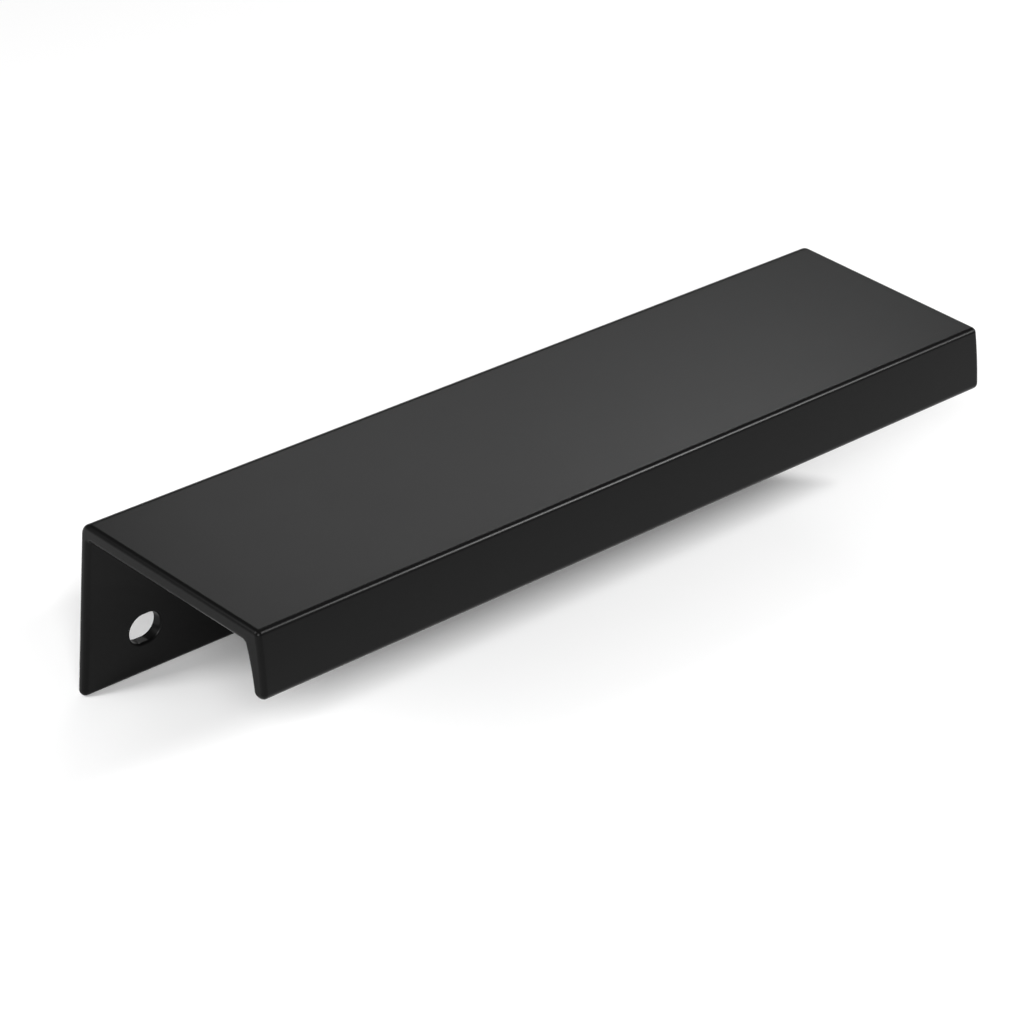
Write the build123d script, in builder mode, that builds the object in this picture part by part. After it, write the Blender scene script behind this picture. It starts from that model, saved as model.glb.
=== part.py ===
"""Concealed edge pull for a cabinet door or drawer front.

One extruded piece hooks over the door's top edge. Its flange is screwed to the back of the door,
its plate covers the edge, and its lip hangs in front of the door as a finger grip.

Frame: X runs along the pull, the lip faces -Y and +Z is up. The origin lies midway between the
two screw holes, on the flange face that meets the back of the door.
"""
import os
from math import radians, tan

from build123d import *

# Screw holes, and the length that reaches past them
hole_spacing = 128.0
hole_margin = 11.0  # from a hole's centre to the nearer cut end
hole_height = 4.7
hole_slide = 1.0  # how far a screw can slide along the pull in its short slot
hole_drop = 18.0  # from the underside of the plate to the holes' centres
hole_rim_radius = 0.45  # on the flange's inner face
hole_back_radius = 0.1  # on the flange's rear face

# Plate over the door's edge
plate_depth = 37.3  # from the flange's rear face to the front corner, before rounding
plate_thickness = 2.65

# Flange on the back of the door
flange_thickness = 1.8
flange_height = 25.6  # below the underside of the plate

# Lip in front of the door
lip_height = 7.5  # below the underside of the plate
lip_lean = 11.5  # degrees outwards from the vertical, from the front corner to the toe
lip_root_thickness = 3.2
lip_toe_thickness = 2.35
lip_bow = 0.15  # rise of the lip's gentle outward curve over its chord

# Rounding along the length
rear_corner_radius = 1.9
front_corner_radius = 0.95
flange_root_radius = 0.5
lip_root_radius = 0.7
foot_share = 0.48  # of the flange's thickness, which rounds its foot almost fully
toe_share = 0.45  # of the toe's thickness, which rounds the lip's toe almost fully

# Rounding around both cut ends, which stays inside the roundings that it meets
end_rounding = 0.8

# Length, levels and slopes, worked out from the sizes above
pull_length = hole_spacing + 2 * hole_margin
underside_z = hole_drop
top_z = underside_z + plate_thickness
foot_z = underside_z - flange_height
toe_z = underside_z - lip_height
lip_slope = tan(radians(lip_lean))
front_y = flange_thickness - plate_depth
root_y = front_y - plate_thickness * lip_slope + lip_root_thickness
toe_y = front_y - (top_z - toe_z) * lip_slope
foot_radius = foot_share * flange_thickness
toe_radius = toe_share * lip_toe_thickness
end_radius = min(end_rounding, 0.95 * foot_radius, 0.95 * toe_radius, 0.9 * front_corner_radius)

# Corners of the section, as (Y, Z)
rear_top = (flange_thickness, top_z)
rear_foot = (flange_thickness, foot_z)
front_foot = (0, foot_z)
flange_root = (0, underside_z)
lip_root = (root_y, underside_z)
toe_back = (toe_y + lip_toe_thickness, toe_z)
toe_front = (toe_y, toe_z)
front_top = (front_y, top_z)

corner_radii = {
    rear_top: rear_corner_radius,
    rear_foot: foot_radius,
    front_foot: foot_radius,
    flange_root: flange_root_radius,
    lip_root: lip_root_radius,
    toe_back: toe_radius,
    toe_front: toe_radius,
    front_top: front_corner_radius,
}

# Section of the extrusion: flange, plate and gently bowed lip in one outline
with BuildSketch(Plane.YZ.offset(-pull_length / 2)) as section:
    with BuildLine():
        Polyline(front_top, rear_top, rear_foot, front_foot, flange_root, lip_root)
        SagittaArc(lip_root, toe_back, -lip_bow)
        Line(toe_back, toe_front)
        SagittaArc(toe_front, front_top, lip_bow)
    make_face()
    for corner, radius in corner_radii.items():
        fillet(section.vertices().sort_by_distance(corner)[0], radius)

# The pull: the section cut to length, eased around both ends, with two short screw slots
with BuildPart() as pull:
    extrude(section.sketch, amount=pull_length)
    fillet(pull.faces().filter_by(Axis.X).edges(), end_radius)
    with BuildSketch(Plane.XZ):
        with GridLocations(hole_spacing, 0, 2, 1):
            SlotCenterToCenter(hole_slide, hole_height)
    extrude(amount=-flange_thickness, mode=Mode.SUBTRACT)
    rims = pull.edges(Select.LAST).filter_by(Axis.Y, reverse=True).group_by(Axis.Y)
    fillet(rims[0], hole_rim_radius)
    fillet(rims[-1], hole_back_radius)

os.makedirs("parts", exist_ok=True)
pull.part.label = "pull"
export_step(pull.part, "parts/pull.step")
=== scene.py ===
"""Concealed edge pull in satin black on a pale studio floor.

The pull is one extruded piece. Its section is drawn once, as a smooth outline with its outward
directions, and a geometry node tree sweeps it along the length, eases both cut ends and cuts the
two short slots for the screws. All lengths are in metres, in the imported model's own frame: X runs
along the pull, the lip faces -Y and +Z is up.
"""

import logging
from dataclasses import dataclass
from enum import Enum
from math import atan2, cos, hypot, pi, radians, sin, tan

import bpy
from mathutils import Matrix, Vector


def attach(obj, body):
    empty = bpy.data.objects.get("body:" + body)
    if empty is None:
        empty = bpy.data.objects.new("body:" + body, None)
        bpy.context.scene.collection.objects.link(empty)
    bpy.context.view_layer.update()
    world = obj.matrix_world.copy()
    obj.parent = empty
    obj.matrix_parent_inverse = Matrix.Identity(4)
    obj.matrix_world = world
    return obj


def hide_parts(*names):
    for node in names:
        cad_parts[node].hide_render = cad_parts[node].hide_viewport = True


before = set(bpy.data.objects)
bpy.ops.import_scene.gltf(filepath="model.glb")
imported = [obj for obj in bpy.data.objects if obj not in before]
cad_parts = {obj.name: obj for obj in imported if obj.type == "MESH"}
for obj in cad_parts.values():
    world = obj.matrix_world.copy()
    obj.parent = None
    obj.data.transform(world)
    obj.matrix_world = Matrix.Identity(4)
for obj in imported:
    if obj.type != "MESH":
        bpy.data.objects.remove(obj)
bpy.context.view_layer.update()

MM = 0.001
PIECE = "pull_body"
NODE = "pull"
BODY = "root"
IMAGE_SIDE = 1024
SENSOR_MM = 36.0
QUARTER_TURN = pi / 2
LAMP_WATTS = 4.0  # for a radiance of 1 from each square metre of an area lamp

log = logging.getLogger("concealed_pull")

Point2 = tuple[float, float]
Value = bpy.types.NodeSocket | float | int


class Stored(Enum):
    """Attributes that the sweep keeps on its points."""

    OUTWARD = "outward"
    SECTION_AT = "section_at"
    STATION = "station"
    INSET = "inset"
    SPOKE = "spoke"
    DEPTH = "depth"
    REACH = "reach"


class SweepSize(Enum):
    """Inputs of the sweep, by the names that the node tree shows."""

    LENGTH = "Length"
    END_RADIUS = "End Radius"
    END_STEPS = "End Steps"
    FLANGE_THICKNESS = "Flange Thickness"
    HOLE_SPACING = "Hole Spacing"
    HOLE_RADIUS = "Hole Radius"
    HOLE_SLIDE = "Hole Slide"
    RIM_RADIUS = "Rim Radius"
    BACK_RIM_RADIUS = "Back Rim Radius"
    RIM_STEPS = "Rim Steps"
    HOLE_SIDES = "Hole Sides"
    COAT = "Coat"


@dataclass(frozen=True)
class OutlinePoint:
    """One point of the section with its outward direction, both as (Y, Z)."""

    at: Point2
    outward: Point2


@dataclass(frozen=True)
class Corner:
    """One corner of the section, its rounding, and the bow of the side that leaves it."""

    at: Point2
    radius: float
    bow: float = 0.0

    def chord_to(self, after: "Corner") -> Point2:
        """Gives the straight line to the next corner, as (length, direction)."""
        run, rise = after.at[0] - self.at[0], after.at[1] - self.at[1]
        return hypot(run, rise), atan2(rise, run)

    def leaving(self, after: "Corner") -> float:
        """Gives the direction in which the side to the next corner leaves this one."""
        length, direction = self.chord_to(after)
        return direction + 2 * atan2(2 * self.bow, length)

    def arriving(self, after: "Corner") -> float:
        """Gives the direction in which the side from this corner reaches the next one."""
        length, direction = self.chord_to(after)
        return direction - 2 * atan2(2 * self.bow, length)


def wrapped(angle: float) -> float:
    """Brings an angle into the half turn either side of zero."""
    return (angle + pi) % (2 * pi) - pi


@dataclass(frozen=True)
class PullSection:
    """Section of the extrusion: flange, plate and lip in one outline.

    The section lies in the YZ plane. The screw holes' axes are at Z = 0, and the flange meets the
    door at Y = 0. The outline runs clockwise, so that outwards is on the left of its heading.
    """

    hole_drop: float = 18.0 * MM
    plate_depth: float = 37.3 * MM
    plate_thickness: float = 2.65 * MM
    flange_thickness: float = 1.8 * MM
    flange_height: float = 25.6 * MM
    lip_height: float = 7.5 * MM
    lip_lean: float = radians(11.5)
    lip_root_thickness: float = 3.2 * MM
    lip_toe_thickness: float = 2.35 * MM
    lip_bow: float = 0.15 * MM
    rear_corner_radius: float = 1.9 * MM
    front_corner_radius: float = 0.95 * MM
    flange_root_radius: float = 0.5 * MM
    lip_root_radius: float = 0.7 * MM
    foot_share: float = 0.48  # of the flange's thickness
    toe_share: float = 0.45  # of the toe's thickness
    round_steps: int = 16
    bow_steps: int = 16

    def foot_level(self) -> float:
        """Gives the height of the flange's foot, the lowest point of the pull."""
        return self.hole_drop - self.flange_height

    def corners(self) -> list[Corner]:
        """Lists the section's corners in order round the outline.

        Returns:
            The corners, from the front of the plate over its top and down the flange.
        """
        underside = self.hole_drop
        top = underside + self.plate_thickness
        toe = underside - self.lip_height
        slope = tan(self.lip_lean)
        rear = self.flange_thickness
        front = rear - self.plate_depth
        root = front - self.plate_thickness * slope + self.lip_root_thickness
        toe_front = front - (top - toe) * slope
        foot_radius = self.foot_share * self.flange_thickness
        toe_radius = self.toe_share * self.lip_toe_thickness
        return [
            Corner((front, top), self.front_corner_radius),
            Corner((rear, top), self.rear_corner_radius),
            Corner((rear, self.foot_level()), foot_radius),
            Corner((0.0, self.foot_level()), foot_radius),
            Corner((0.0, underside), self.flange_root_radius),
            Corner((root, underside), self.lip_root_radius, bow=-self.lip_bow),
            Corner((toe_front + self.lip_toe_thickness, toe), toe_radius),
            Corner((toe_front, toe), toe_radius, bow=self.lip_bow),
        ]

    def outline(self) -> list[OutlinePoint]:
        """Rounds every corner and bows the lip's two sides.

        Returns:
            The outline's points in order, each with its outward direction.
        """
        corners = self.corners()
        count = len(corners)
        arcs = [
            self._rounding(corners[index - 1], corners[index], corners[(index + 1) % count])
            for index in range(count)
        ]
        points: list[OutlinePoint] = []
        for index, arc in enumerate(arcs):
            points += arc
            if corners[index].bow:
                points += self._bowed_side(arc[-1], arcs[(index + 1) % count][0])
        return points

    def _rounding(self, before: Corner, corner: Corner, after: Corner) -> list[OutlinePoint]:
        """Makes the arc that rounds one corner.

        Args:
            before: The corner before it, whose side arrives here.
            corner: The corner to round.
            after: The next corner, towards which the outline leaves.

        Returns:
            The arc's points, from the arriving side to the leaving one.
        """
        heading = before.arriving(corner)
        turn = wrapped(corner.leaving(after) - heading)
        reach = corner.radius * tan(abs(turn) / 2)
        hand = corner.radius if turn > 0 else -corner.radius
        centre = (
            corner.at[0] - reach * cos(heading) - hand * sin(heading),
            corner.at[1] - reach * sin(heading) + hand * cos(heading),
        )
        points = []
        for step in range(self.round_steps + 1):
            angle = heading + turn * step / self.round_steps
            outward = (-sin(angle), cos(angle))
            at = (centre[0] - hand * outward[0], centre[1] - hand * outward[1])
            points.append(OutlinePoint(at, outward))
        return points

    def _bowed_side(self, start: OutlinePoint, end: OutlinePoint) -> list[OutlinePoint]:
        """Makes the points inside a bowed side, between the roundings at its ends.

        Args:
            start: The last point of the rounding that the side leaves.
            end: The first point of the rounding that it reaches.

        Returns:
            The side's inner points.
        """
        run, rise = end.at[0] - start.at[0], end.at[1] - start.at[1]
        first = atan2(start.outward[1], start.outward[0])
        turn = wrapped(atan2(end.outward[1], end.outward[0]) - first)
        middle = first + turn / 2
        points = []
        for step in range(1, self.bow_steps):
            share = step / self.bow_steps
            angle = first + turn * share
            lift = -share * (1 - share) * hypot(run, rise) * tan(turn / 2)
            at = (
                start.at[0] + run * share + lift * cos(middle),
                start.at[1] + rise * share + lift * sin(middle),
            )
            points.append(OutlinePoint(at, (cos(angle), sin(angle))))
        return points


class GeometryTree:
    """A geometry node tree under construction, with short calls for the nodes it needs."""

    def __init__(self, name: str) -> None:
        """Starts an empty tree that takes and gives a geometry.

        Args:
            name: The tree's name.
        """
        self.tree = bpy.data.node_groups.new(name, "GeometryNodeTree")
        self.identifiers: dict[SweepSize, str] = {}
        self._socket("Geometry", "INPUT", "NodeSocketGeometry")
        self._socket("Geometry", "OUTPUT", "NodeSocketGeometry")
        self._input = self.tree.nodes.new("NodeGroupInput")
        self._output = self.tree.nodes.new("NodeGroupOutput")

    def _socket(self, name: str, side: str, kind: str) -> str:
        """Adds a socket to the tree's interface and gives its identifier."""
        made = self.tree.interface.new_socket(name, in_out=side, socket_type=kind)
        return made.identifier

    def geometry(self) -> bpy.types.NodeSocket:
        """Gives the geometry that comes into the tree."""
        return self._input.outputs["Geometry"]

    def size(self, size: SweepSize, kind: str) -> bpy.types.NodeSocket:
        """Adds a named input to the tree.

        Args:
            size: The input to add.
            kind: The input's socket type.

        Returns:
            The socket that carries the input inside the tree.
        """
        self.identifiers[size] = self._socket(size.value, "INPUT", kind)
        return self._input.outputs[size.value]

    def node(self, kind: str, inputs: dict[str | int, Value], **options: str) -> bpy.types.Node:
        """Adds a node, links or sets its inputs and sets its options.

        Args:
            kind: The node's type.
            inputs: Sockets or plain values, by input name or number.
            options: The node's own properties.

        Returns:
            The new node.
        """
        made = self.tree.nodes.new(kind)
        for name, value in options.items():
            setattr(made, name, value)
        for key, value in inputs.items():
            if isinstance(value, bpy.types.NodeSocket):
                self.tree.links.new(value, made.inputs[key])
            else:
                made.inputs[key].default_value = value
        return made

    def math(self, operation: str, first: Value, second: Value = 0.0) -> bpy.types.NodeSocket:
        """Adds one step of arithmetic and gives its result."""
        made = self.node("ShaderNodeMath", {0: first, 1: second}, operation=operation)
        return made.outputs[0]

    def vector(self, x: Value, y: Value, z: Value) -> bpy.types.NodeSocket:
        """Joins three numbers into a vector."""
        return self.node("ShaderNodeCombineXYZ", {"X": x, "Y": y, "Z": z}).outputs[0]

    def scaled(self, vector: bpy.types.NodeSocket, factor: Value) -> bpy.types.NodeSocket:
        """Multiplies a vector by a number."""
        inputs = {0: vector, "Scale": factor}
        return self.node("ShaderNodeVectorMath", inputs, operation="SCALE").outputs[0]

    def added(self, first: bpy.types.NodeSocket, second: bpy.types.NodeSocket) -> bpy.types.NodeSocket:
        """Adds two vectors."""
        return self.node("ShaderNodeVectorMath", {0: first, 1: second}, operation="ADD").outputs[0]

    def read(self, stored: Stored, data_type: str = "FLOAT") -> bpy.types.NodeSocket:
        """Reads a stored attribute."""
        inputs = {"Name": stored.value}
        return self.node("GeometryNodeInputNamedAttribute", inputs, data_type=data_type).outputs[0]

    def store(
        self, geometry: bpy.types.NodeSocket, stored: Stored, value: Value, data_type: str = "FLOAT"
    ) -> bpy.types.NodeSocket:
        """Stores a value on the points of a geometry.

        Args:
            geometry: The geometry whose points keep the value.
            stored: The attribute that holds it.
            value: The value, which can differ from point to point.
            data_type: The attribute's type.

        Returns:
            The geometry with the attribute.
        """
        inputs = {"Geometry": geometry, "Name": stored.value, "Value": value}
        made = self.node(
            "GeometryNodeStoreNamedAttribute", inputs, data_type=data_type, domain="POINT"
        )
        return made.outputs[0]

    def index(self) -> bpy.types.NodeSocket:
        """Gives each point's number."""
        return self.node("GeometryNodeInputIndex", {}).outputs[0]

    def position(self) -> bpy.types.NodeSocket:
        """Gives each point's place."""
        return self.node("GeometryNodeInputPosition", {}).outputs[0]

    def row(self, count: Value, start: Value = 0.0, spacing: Value = 1.0) -> bpy.types.NodeSocket:
        """Lays points in a row along X.

        Args:
            count: How many points.
            start: The first point's place.
            spacing: The distance between neighbours.

        Returns:
            The row, joined by edges.
        """
        inputs = {
            "Count": count,
            "Start Location": self.vector(start, 0.0, 0.0),
            "Offset": self.vector(spacing, 0.0, 0.0),
        }
        return self.node("GeometryNodeMeshLine", inputs, mode="OFFSET").outputs[0]

    def rounding(
        self, radius: Value, share: bpy.types.NodeSocket
    ) -> tuple[bpy.types.NodeSocket, bpy.types.NodeSocket]:
        """Follows a quarter circle from a face round to the side that meets it.

        Args:
            radius: The quarter circle's radius.
            share: How far along it each point is, from 0 at the face to 1 at the side.

        Returns:
            Each point's depth below the face, and its distance from the side.
        """
        turn = self.math("MULTIPLY", share, QUARTER_TURN)
        depth = self.math("SUBTRACT", 1.0, self.math("COSINE", turn))
        inset = self.math("SUBTRACT", 1.0, self.math("SINE", turn))
        return self.math("MULTIPLY", radius, depth), self.math("MULTIPLY", radius, inset)

    def curve(self, mesh: bpy.types.NodeSocket) -> bpy.types.NodeSocket:
        """Turns edges into a curve."""
        return self.node("GeometryNodeMeshToCurve", {"Mesh": mesh}).outputs[0]

    def swept(
        self,
        path: bpy.types.NodeSocket,
        profile: bpy.types.NodeSocket,
        place: bpy.types.NodeSocket,
    ) -> bpy.types.NodeSocket:
        """Joins a profile at every station of a path into a closed skin.

        Args:
            path: The curve whose points are the stations.
            profile: The closed curve that is repeated at each station.
            place: Where each point of the skin goes, from what both curves store.

        Returns:
            The skin with both ends filled.
        """
        inputs = {"Curve": path, "Profile Curve": profile, "Fill Caps": True}
        skin = self.node("GeometryNodeCurveToMesh", inputs).outputs[0]
        return self.node("GeometryNodeSetPosition", {"Geometry": skin, "Position": place}).outputs[0]

    def finish(self, mesh: bpy.types.NodeSocket, material: bpy.types.NodeSocket) -> None:
        """Shades the result smoothly, makes it plain geometry, coats it and hands it out.

        Args:
            mesh: The finished shape.
            material: The material that covers it.
        """
        smooth = self.node("GeometryNodeSetShadeSmooth", {0: mesh}).outputs[0]
        plain = self.node("GeometryNodeRealizeInstances", {0: smooth}).outputs[0]
        inputs = {"Geometry": plain, "Material": material}
        coated = self.node("GeometryNodeSetMaterial", inputs).outputs[0]
        self.tree.links.new(coated, self._output.inputs["Geometry"])


@dataclass(frozen=True)
class SatinCoat:
    """The fine satin-black coat that covers the whole pull."""

    name: str = "satin_black"
    tone: float = 0.003
    tone_spread: float = 0.0003
    roughness: float = 0.28
    roughness_spread: float = 0.01
    specular: float = 0.088
    mottle_size: float = 9.0 * MM
    mottle_detail: float = 3.0
    grain_size: float = 0.22 * MM
    grain_detail: float = 2.0
    grain_depth: float = 0.0006 * MM

    def material(self) -> bpy.types.Material:
        """Builds the coat's nodes.

        Returns:
            The material.
        """
        made = bpy.data.materials.new(self.name)
        made.use_nodes = True
        nodes, links = made.node_tree.nodes, made.node_tree.links
        shader = nodes["Principled BSDF"]
        shader.inputs["Specular IOR Level"].default_value = self.specular
        place = nodes.new("ShaderNodeTexCoord").outputs["Object"]
        mottle = self._noise(made, place, self.mottle_size, self.mottle_detail)
        grain = self._noise(made, place, self.grain_size, self.grain_detail)

        mottled = {
            "Base Color": (self.tone, self.tone_spread),
            "Roughness": (self.roughness, self.roughness_spread),
        }
        for socket, (middle, spread) in mottled.items():
            limits = nodes.new("ShaderNodeMapRange")
            limits.inputs["To Min"].default_value = middle - spread
            limits.inputs["To Max"].default_value = middle + spread
            links.new(mottle, limits.inputs["Value"])
            links.new(limits.outputs["Result"], shader.inputs[socket])

        bump = nodes.new("ShaderNodeBump")
        bump.inputs["Distance"].default_value = self.grain_depth
        links.new(grain, bump.inputs["Height"])
        links.new(bump.outputs["Normal"], shader.inputs["Normal"])
        return made

    def _noise(
        self, material: bpy.types.Material, place: bpy.types.NodeSocket, size: float, detail: float
    ) -> bpy.types.NodeSocket:
        """Adds a noise texture and gives its values.

        Args:
            material: The material that gets the texture.
            place: The coordinates it reads.
            size: How wide its cells are.
            detail: How many finer layers it adds.

        Returns:
            The socket with the values.
        """
        noise = material.node_tree.nodes.new("ShaderNodeTexNoise")
        noise.inputs["Scale"].default_value = 1.0 / size
        noise.inputs["Detail"].default_value = detail
        material.node_tree.links.new(place, noise.inputs["Vector"])
        return noise.outputs["Fac"]


@dataclass(frozen=True)
class ConcealedPull:
    """The pull: its section swept along the length, eased at the ends and cut for the screws."""

    section: PullSection = PullSection()
    coat: SatinCoat = SatinCoat()
    length: float = 150.0 * MM
    end_radius: float = 0.8 * MM
    hole_spacing: float = 128.0 * MM
    hole_height: float = 4.7 * MM
    hole_slide: float = 1.0 * MM  # makes each hole a short slot along the pull
    hole_rim_radius: float = 0.45 * MM
    hole_back_radius: float = 0.1 * MM
    cutter_overhang: float = 1.0 * MM  # past both faces of the flange
    cutter_lift: float = 0.002 * MM  # keeps the cutters' rims clear of the flange's faces
    end_steps: int = 8
    rim_steps: int = 8
    hole_sides: int = 96

    def build(self) -> bpy.types.Object:
        """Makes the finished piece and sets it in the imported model.

        Returns:
            The piece's object.
        """
        piece = self._outline_object()
        outline = piece.data
        self._add_modifiers(piece)
        evaluated = piece.evaluated_get(bpy.context.evaluated_depsgraph_get())
        mesh = bpy.data.meshes.new_from_object(evaluated)
        piece.modifiers.clear()
        piece.data = mesh
        bpy.data.meshes.remove(outline)
        mesh.name = PIECE
        self._strip(mesh)
        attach(piece, BODY)
        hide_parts(NODE)
        log.info("%s: %d faces", piece.name, len(mesh.polygons))
        return piece

    def _add_modifiers(self, piece: bpy.types.Object) -> None:
        """Adds the sweep and, after it, shading that keeps the flat faces even.

        Args:
            piece: The object that holds the section's outline.
        """
        tree = self._sweep_tree()
        sweep = piece.modifiers.new("sweep", "NODES")
        sweep.node_group = tree.tree
        for size, value in self._sizes().items():
            sweep[tree.identifiers[size]] = value
        even = piece.modifiers.new("even_shading", "WEIGHTED_NORMAL")
        even.mode = "FACE_AREA"

    def _strip(self, mesh: bpy.types.Mesh) -> None:
        """Takes the empty material slot and the sweep's attributes off the finished mesh.

        Args:
            mesh: The finished mesh.
        """
        if mesh.materials[0] is None:
            mesh.materials.pop(index=0)
        for stored in Stored:
            if stored.value in mesh.attributes:
                mesh.attributes.remove(mesh.attributes[stored.value])

    def _sizes(self) -> dict[SweepSize, float | int | bpy.types.Material]:
        """Pairs every input of the sweep with its value.

        Returns:
            The values, by input.
        """
        return {
            SweepSize.LENGTH: self.length,
            SweepSize.END_RADIUS: self.end_radius,
            SweepSize.END_STEPS: self.end_steps,
            SweepSize.FLANGE_THICKNESS: self.section.flange_thickness,
            SweepSize.HOLE_SPACING: self.hole_spacing,
            SweepSize.HOLE_RADIUS: self.hole_height / 2,
            SweepSize.HOLE_SLIDE: self.hole_slide,
            SweepSize.RIM_RADIUS: self.hole_rim_radius,
            SweepSize.BACK_RIM_RADIUS: self.hole_back_radius,
            SweepSize.RIM_STEPS: self.rim_steps,
            SweepSize.HOLE_SIDES: self.hole_sides,
            SweepSize.COAT: self.coat.material(),
        }

    def _outline_object(self) -> bpy.types.Object:
        """Makes an object that holds the section's outline as one closed loop of edges.

        Returns:
            The object, with the outward direction stored on each point.
        """
        points = self.section.outline()
        count = len(points)
        mesh = bpy.data.meshes.new("section_outline")
        edges = [(index, (index + 1) % count) for index in range(count)]
        mesh.from_pydata([(0.0, *point.at) for point in points], edges, [])
        outward = mesh.attributes.new(Stored.OUTWARD.value, "FLOAT_VECTOR", "POINT")
        for item, point in zip(outward.data, points):
            item.vector = (0.0, *point.outward)
        made = bpy.data.objects.new(PIECE, mesh)
        bpy.context.scene.collection.objects.link(made)
        return made

    def _sweep_tree(self) -> GeometryTree:
        """Builds the tree that sweeps the section and cuts the screw slots.

        Returns:
            The finished tree.
        """
        tree = GeometryTree("pull_sweep")
        kinds = dict.fromkeys(SweepSize, "NodeSocketFloat")
        for count in (SweepSize.END_STEPS, SweepSize.RIM_STEPS, SweepSize.HOLE_SIDES):
            kinds[count] = "NodeSocketInt"
        kinds[SweepSize.COAT] = "NodeSocketMaterial"
        sizes = {size: tree.size(size, kind) for size, kind in kinds.items()}
        inputs = {"Mesh 1": self._bar(tree, sizes), "Mesh 2": self._cutters(tree, sizes)}
        slotted = tree.node(
            "GeometryNodeMeshBoolean", inputs, operation="DIFFERENCE", solver="EXACT"
        ).outputs[0]
        tree.finish(slotted, sizes[SweepSize.COAT])
        return tree

    def _bar(
        self, tree: GeometryTree, sizes: dict[SweepSize, bpy.types.NodeSocket]
    ) -> bpy.types.NodeSocket:
        """Sweeps the section from end to end and eases the ends.

        Each station has a place along the length and an inset. Near an end the two follow a quarter
        circle, so the section shrinks into the end face along a rounded edge.

        Args:
            tree: The tree to add to.
            sizes: The tree's inputs.

        Returns:
            The bar, before the slots are cut.
        """
        # Each end has one station more than its rounding has steps
        steps = sizes[SweepSize.END_STEPS]
        last = tree.math("ADD", tree.math("MULTIPLY", steps, 2.0), 1.0)
        side, nearness = self._from_nearest_end(tree, last)
        share = tree.math("DIVIDE", nearness, steps)
        back, inset = tree.rounding(sizes[SweepSize.END_RADIUS], share)
        half = tree.math("MULTIPLY", sizes[SweepSize.LENGTH], 0.5)
        station = tree.math("MULTIPLY", side, tree.math("SUBTRACT", half, back))
        path = tree.row(tree.math("ADD", last, 1.0))
        path = tree.store(path, Stored.STATION, station)
        path = tree.store(path, Stored.INSET, inset)

        profile = tree.curve(tree.geometry())
        profile = tree.store(profile, Stored.SECTION_AT, tree.position(), "FLOAT_VECTOR")
        shrink = tree.math("MULTIPLY", tree.read(Stored.INSET), -1.0)
        place = tree.added(
            tree.read(Stored.SECTION_AT, "FLOAT_VECTOR"),
            tree.scaled(tree.read(Stored.OUTWARD, "FLOAT_VECTOR"), shrink),
        )
        place = tree.added(place, tree.vector(tree.read(Stored.STATION), 0.0, 0.0))
        return tree.swept(tree.curve(path), profile, place)

    def _cutters(
        self, tree: GeometryTree, sizes: dict[SweepSize, bpy.types.NodeSocket]
    ) -> bpy.types.NodeSocket:
        """Makes the two cutters, which flare at both faces of the flange to round the slots' rims.

        Their outline is a circle whose two halves stand apart along X, so they cut short slots.

        Args:
            tree: The tree to add to.
            sizes: The tree's inputs.

        Returns:
            The cutters, at their places.
        """
        # Each face has one station more than its rim has steps, and another one outside
        steps = sizes[SweepSize.RIM_STEPS]
        last = tree.math("ADD", tree.math("MULTIPLY", steps, 2.0), 3.0)
        side, nearness = self._from_nearest_end(tree, last)
        rims = {"To Min": sizes[SweepSize.RIM_RADIUS], "To Max": sizes[SweepSize.BACK_RIM_RADIUS]}
        rim = tree.node("ShaderNodeMapRange", {"Value": side, "From Min": -1.0, **rims}).outputs[0]
        inner = tree.math("MAXIMUM", tree.math("SUBTRACT", nearness, 1.0), 0.0)
        depth, flare = tree.rounding(rim, tree.math("DIVIDE", inner, steps))
        outside = tree.math("SUBTRACT", 1.0, tree.math("MINIMUM", nearness, 1.0))
        depth = tree.math("SUBTRACT", depth, tree.math("MULTIPLY", outside, self.cutter_overhang))
        depth = tree.math("SUBTRACT", depth, self.cutter_lift)
        half = tree.math("MULTIPLY", sizes[SweepSize.FLANGE_THICKNESS], 0.5)
        level = tree.math("MULTIPLY", side, tree.math("SUBTRACT", half, depth))
        path = tree.row(tree.math("ADD", last, 1.0))
        path = tree.store(path, Stored.DEPTH, tree.math("ADD", half, level))
        path = tree.store(path, Stored.REACH, tree.math("ADD", sizes[SweepSize.HOLE_RADIUS], flare))

        circle = tree.node(
            "GeometryNodeCurvePrimitiveCircle",
            {"Resolution": sizes[SweepSize.HOLE_SIDES], "Radius": 1.0},
        ).outputs[0]
        circle = tree.store(circle, Stored.SPOKE, tree.position(), "FLOAT_VECTOR")
        spoke = tree.scaled(tree.read(Stored.SPOKE, "FLOAT_VECTOR"), tree.read(Stored.REACH))
        parts = tree.node("ShaderNodeSeparateXYZ", {0: spoke}).outputs
        half_slide = tree.math("MULTIPLY", sizes[SweepSize.HOLE_SLIDE], 0.5)
        apart = tree.math("MULTIPLY", tree.math("SIGN", parts["Y"]), half_slide)
        along = tree.math("ADD", parts["Y"], apart)
        place = tree.vector(along, tree.read(Stored.DEPTH), parts["X"])
        cutter = tree.swept(tree.curve(path), circle, place)

        spacing = sizes[SweepSize.HOLE_SPACING]
        places = tree.row(2, tree.math("MULTIPLY", spacing, -0.5), spacing)
        inputs = {"Points": places, "Instance": cutter}
        cutters = tree.node("GeometryNodeInstanceOnPoints", inputs).outputs[0]
        return tree.node("GeometryNodeRealizeInstances", {0: cutters}).outputs[0]

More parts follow.
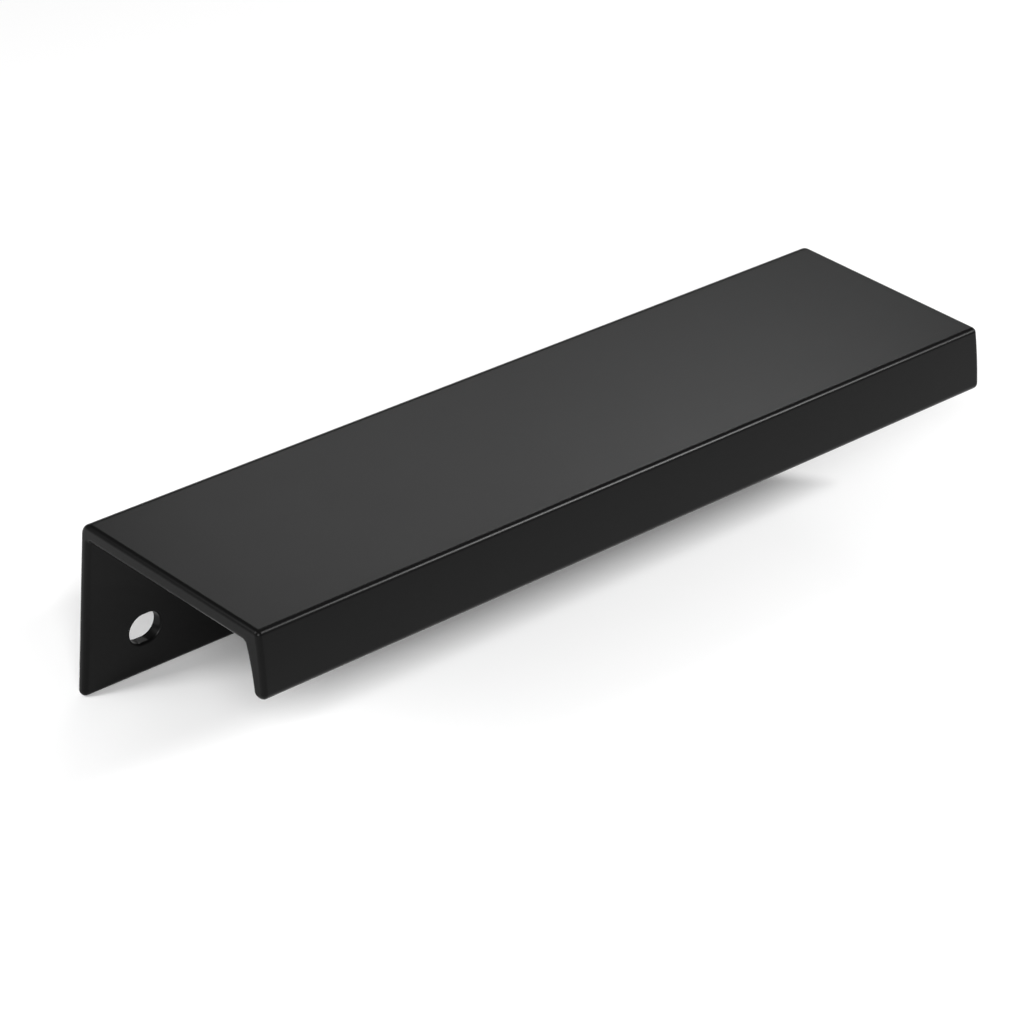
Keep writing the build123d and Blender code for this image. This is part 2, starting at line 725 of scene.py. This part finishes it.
    def _from_nearest_end(
        self, tree: GeometryTree, last: bpy.types.NodeSocket
    ) -> tuple[bpy.types.NodeSocket, bpy.types.NodeSocket]:
        """Counts each station from the nearer end of its row.

        Args:
            tree: The tree to add to.
            last: The number of the row's last station.

        Returns:
            The end's side, -1 or 1, and the station's number from it.
        """
        index = tree.index()
        from_last = tree.math("SUBTRACT", last, index)
        side = tree.math("SIGN", tree.math("SUBTRACT", index, from_last))
        return side, tree.math("MINIMUM", index, from_last)


@dataclass(frozen=True)
class Softbox:
    """One soft lamp of the studio, which faces the pull and can't be seen itself.

    Its azimuth runs from -Y towards +X and its elevation upwards from the floor, both in degrees.
    """

    name: str
    azimuth: float
    elevation: float
    distance: float
    width: float
    height: float
    radiance: float

    def build(self) -> bpy.types.Object:
        """Sets up the lamp.

        Returns:
            The lamp's object.
        """
        lamp = bpy.data.lights.new(self.name, "AREA")
        lamp.shape = "RECTANGLE"
        lamp.size, lamp.size_y = self.width, self.height
        lamp.energy = LAMP_WATTS * self.radiance * self.width * self.height
        made = bpy.data.objects.new(self.name, lamp)
        turn, lift = radians(self.azimuth), radians(self.elevation)
        towards = Vector((sin(turn) * cos(lift), -cos(turn) * cos(lift), sin(lift)))
        made.location = towards * self.distance
        made.rotation_euler = towards.to_track_quat("Z", "Y").to_euler()
        made.visible_camera = False
        bpy.context.scene.collection.objects.link(made)
        return made


@dataclass(frozen=True)
class PhotoCamera:
    """The camera, at the place and angle from which the pull was photographed.

    Its turn is in degrees about X, Y and Z, and its focal length in pixels of the square image.
    """

    place: tuple[float, float, float] = (-0.366106, -0.354354, 0.285464)
    turn: tuple[float, float, float] = (60.449, -4.101, -44.364)
    focal_px: float = 3815.25
    nearest: float = 0.01
    farthest: float = 20.0

    def build(self) -> bpy.types.Object:
        """Sets up the camera and makes it the scene's own.

        Returns:
            The camera's object.
        """
        lens = bpy.data.cameras.new("photo_camera")
        lens.sensor_width = SENSOR_MM
        lens.lens = self.focal_px / IMAGE_SIDE * SENSOR_MM
        lens.clip_start, lens.clip_end = self.nearest, self.farthest
        made = bpy.data.objects.new("photo_camera", lens)
        made.location = self.place
        made.rotation_euler = [radians(angle) for angle in self.turn]
        bpy.context.scene.collection.objects.link(made)
        bpy.context.scene.camera = made
        return made


@dataclass(frozen=True)
class Studio:
    """A pale floor under a soft sky, with soft lamps round the pull.

    The strip draws the bright line along the front edge, and the two lamps at the back give the
    plate its sheen. The fill and the left lamp keep the floor pale, and the small lamp at the end
    lights the floor that the cut end reflects.
    """

    floor_level: float
    floor_side: float = 8.0
    floor_tone: float = 0.98
    sky: float = 0.2
    lamps: tuple[Softbox, ...] = (
        Softbox(
            "strip_softbox", azimuth=50.0, elevation=34.5, distance=1.0,
            width=0.1, height=0.24, radiance=78.0,
        ),
        Softbox(
            "back_left_softbox", azimuth=137.2, elevation=33.0, distance=1.0,
            width=0.227, height=0.149, radiance=2.9,
        ),
        Softbox(
            "back_right_softbox", azimuth=124.5, elevation=33.0, distance=1.0,
            width=0.147, height=0.105, radiance=7.2,
        ),
        Softbox(
            "front_fill", azimuth=-46.7, elevation=27.0, distance=1.5,
            width=0.7, height=0.7, radiance=10.0,
        ),
        Softbox(
            "left_softbox", azimuth=-118.0, elevation=35.0, distance=1.2,
            width=0.6, height=0.6, radiance=1.5,
        ),
        Softbox(
            "end_softbox", azimuth=-101.0, elevation=31.0, distance=0.233,
            width=0.04, height=0.12, radiance=8.3,
        ),
    )

    def build(self) -> None:
        """Makes the floor, the sky, the lamps and the camera, and sets the plain view."""
        self._floor()
        self._sky()
        for lamp in self.lamps:
            lamp.build()
            log.info("%s set up", lamp.name)
        PhotoCamera().build()
        bpy.context.scene.view_settings.view_transform = "Standard"

    def _floor(self) -> bpy.types.Object:
        """Lays the floor under the pull.

        Returns:
            The floor's object.
        """
        half = self.floor_side / 2
        sides = ((-half, -half), (half, -half), (half, half), (-half, half))
        corners = [(x, y, self.floor_level) for x, y in sides]
        mesh = bpy.data.meshes.new("studio_floor")
        mesh.from_pydata(corners, [], [(0, 1, 2, 3)])
        paint = bpy.data.materials.new("pale_floor")
        paint.use_nodes = True
        shader = paint.node_tree.nodes["Principled BSDF"]
        shader.inputs["Base Color"].default_value = (self.floor_tone,) * 3 + (1.0,)
        shader.inputs["Roughness"].default_value = 1.0
        shader.inputs["Specular IOR Level"].default_value = 0.0
        mesh.materials.append(paint)
        made = bpy.data.objects.new("studio_floor", mesh)
        bpy.context.scene.collection.objects.link(made)
        return made

    def _sky(self) -> bpy.types.World:
        """Makes the even light that comes from all round.

        Returns:
            The world.
        """
        world = bpy.data.worlds.new("studio_sky")
        world.use_nodes = True
        background = world.node_tree.nodes["Background"]
        background.inputs["Color"].default_value = (1.0, 1.0, 1.0, 1.0)
        background.inputs["Strength"].default_value = self.sky
        bpy.context.scene.world = world
        return world


def main() -> None:
    """Builds the pull and the studio in order and reports each piece."""
    logging.basicConfig(level=logging.INFO, format="%(name)s: %(message)s")
    pull = ConcealedPull()
    pull.build()
    Studio(floor_level=pull.section.foot_level()).build()


if __name__ == "__main__":
    main()
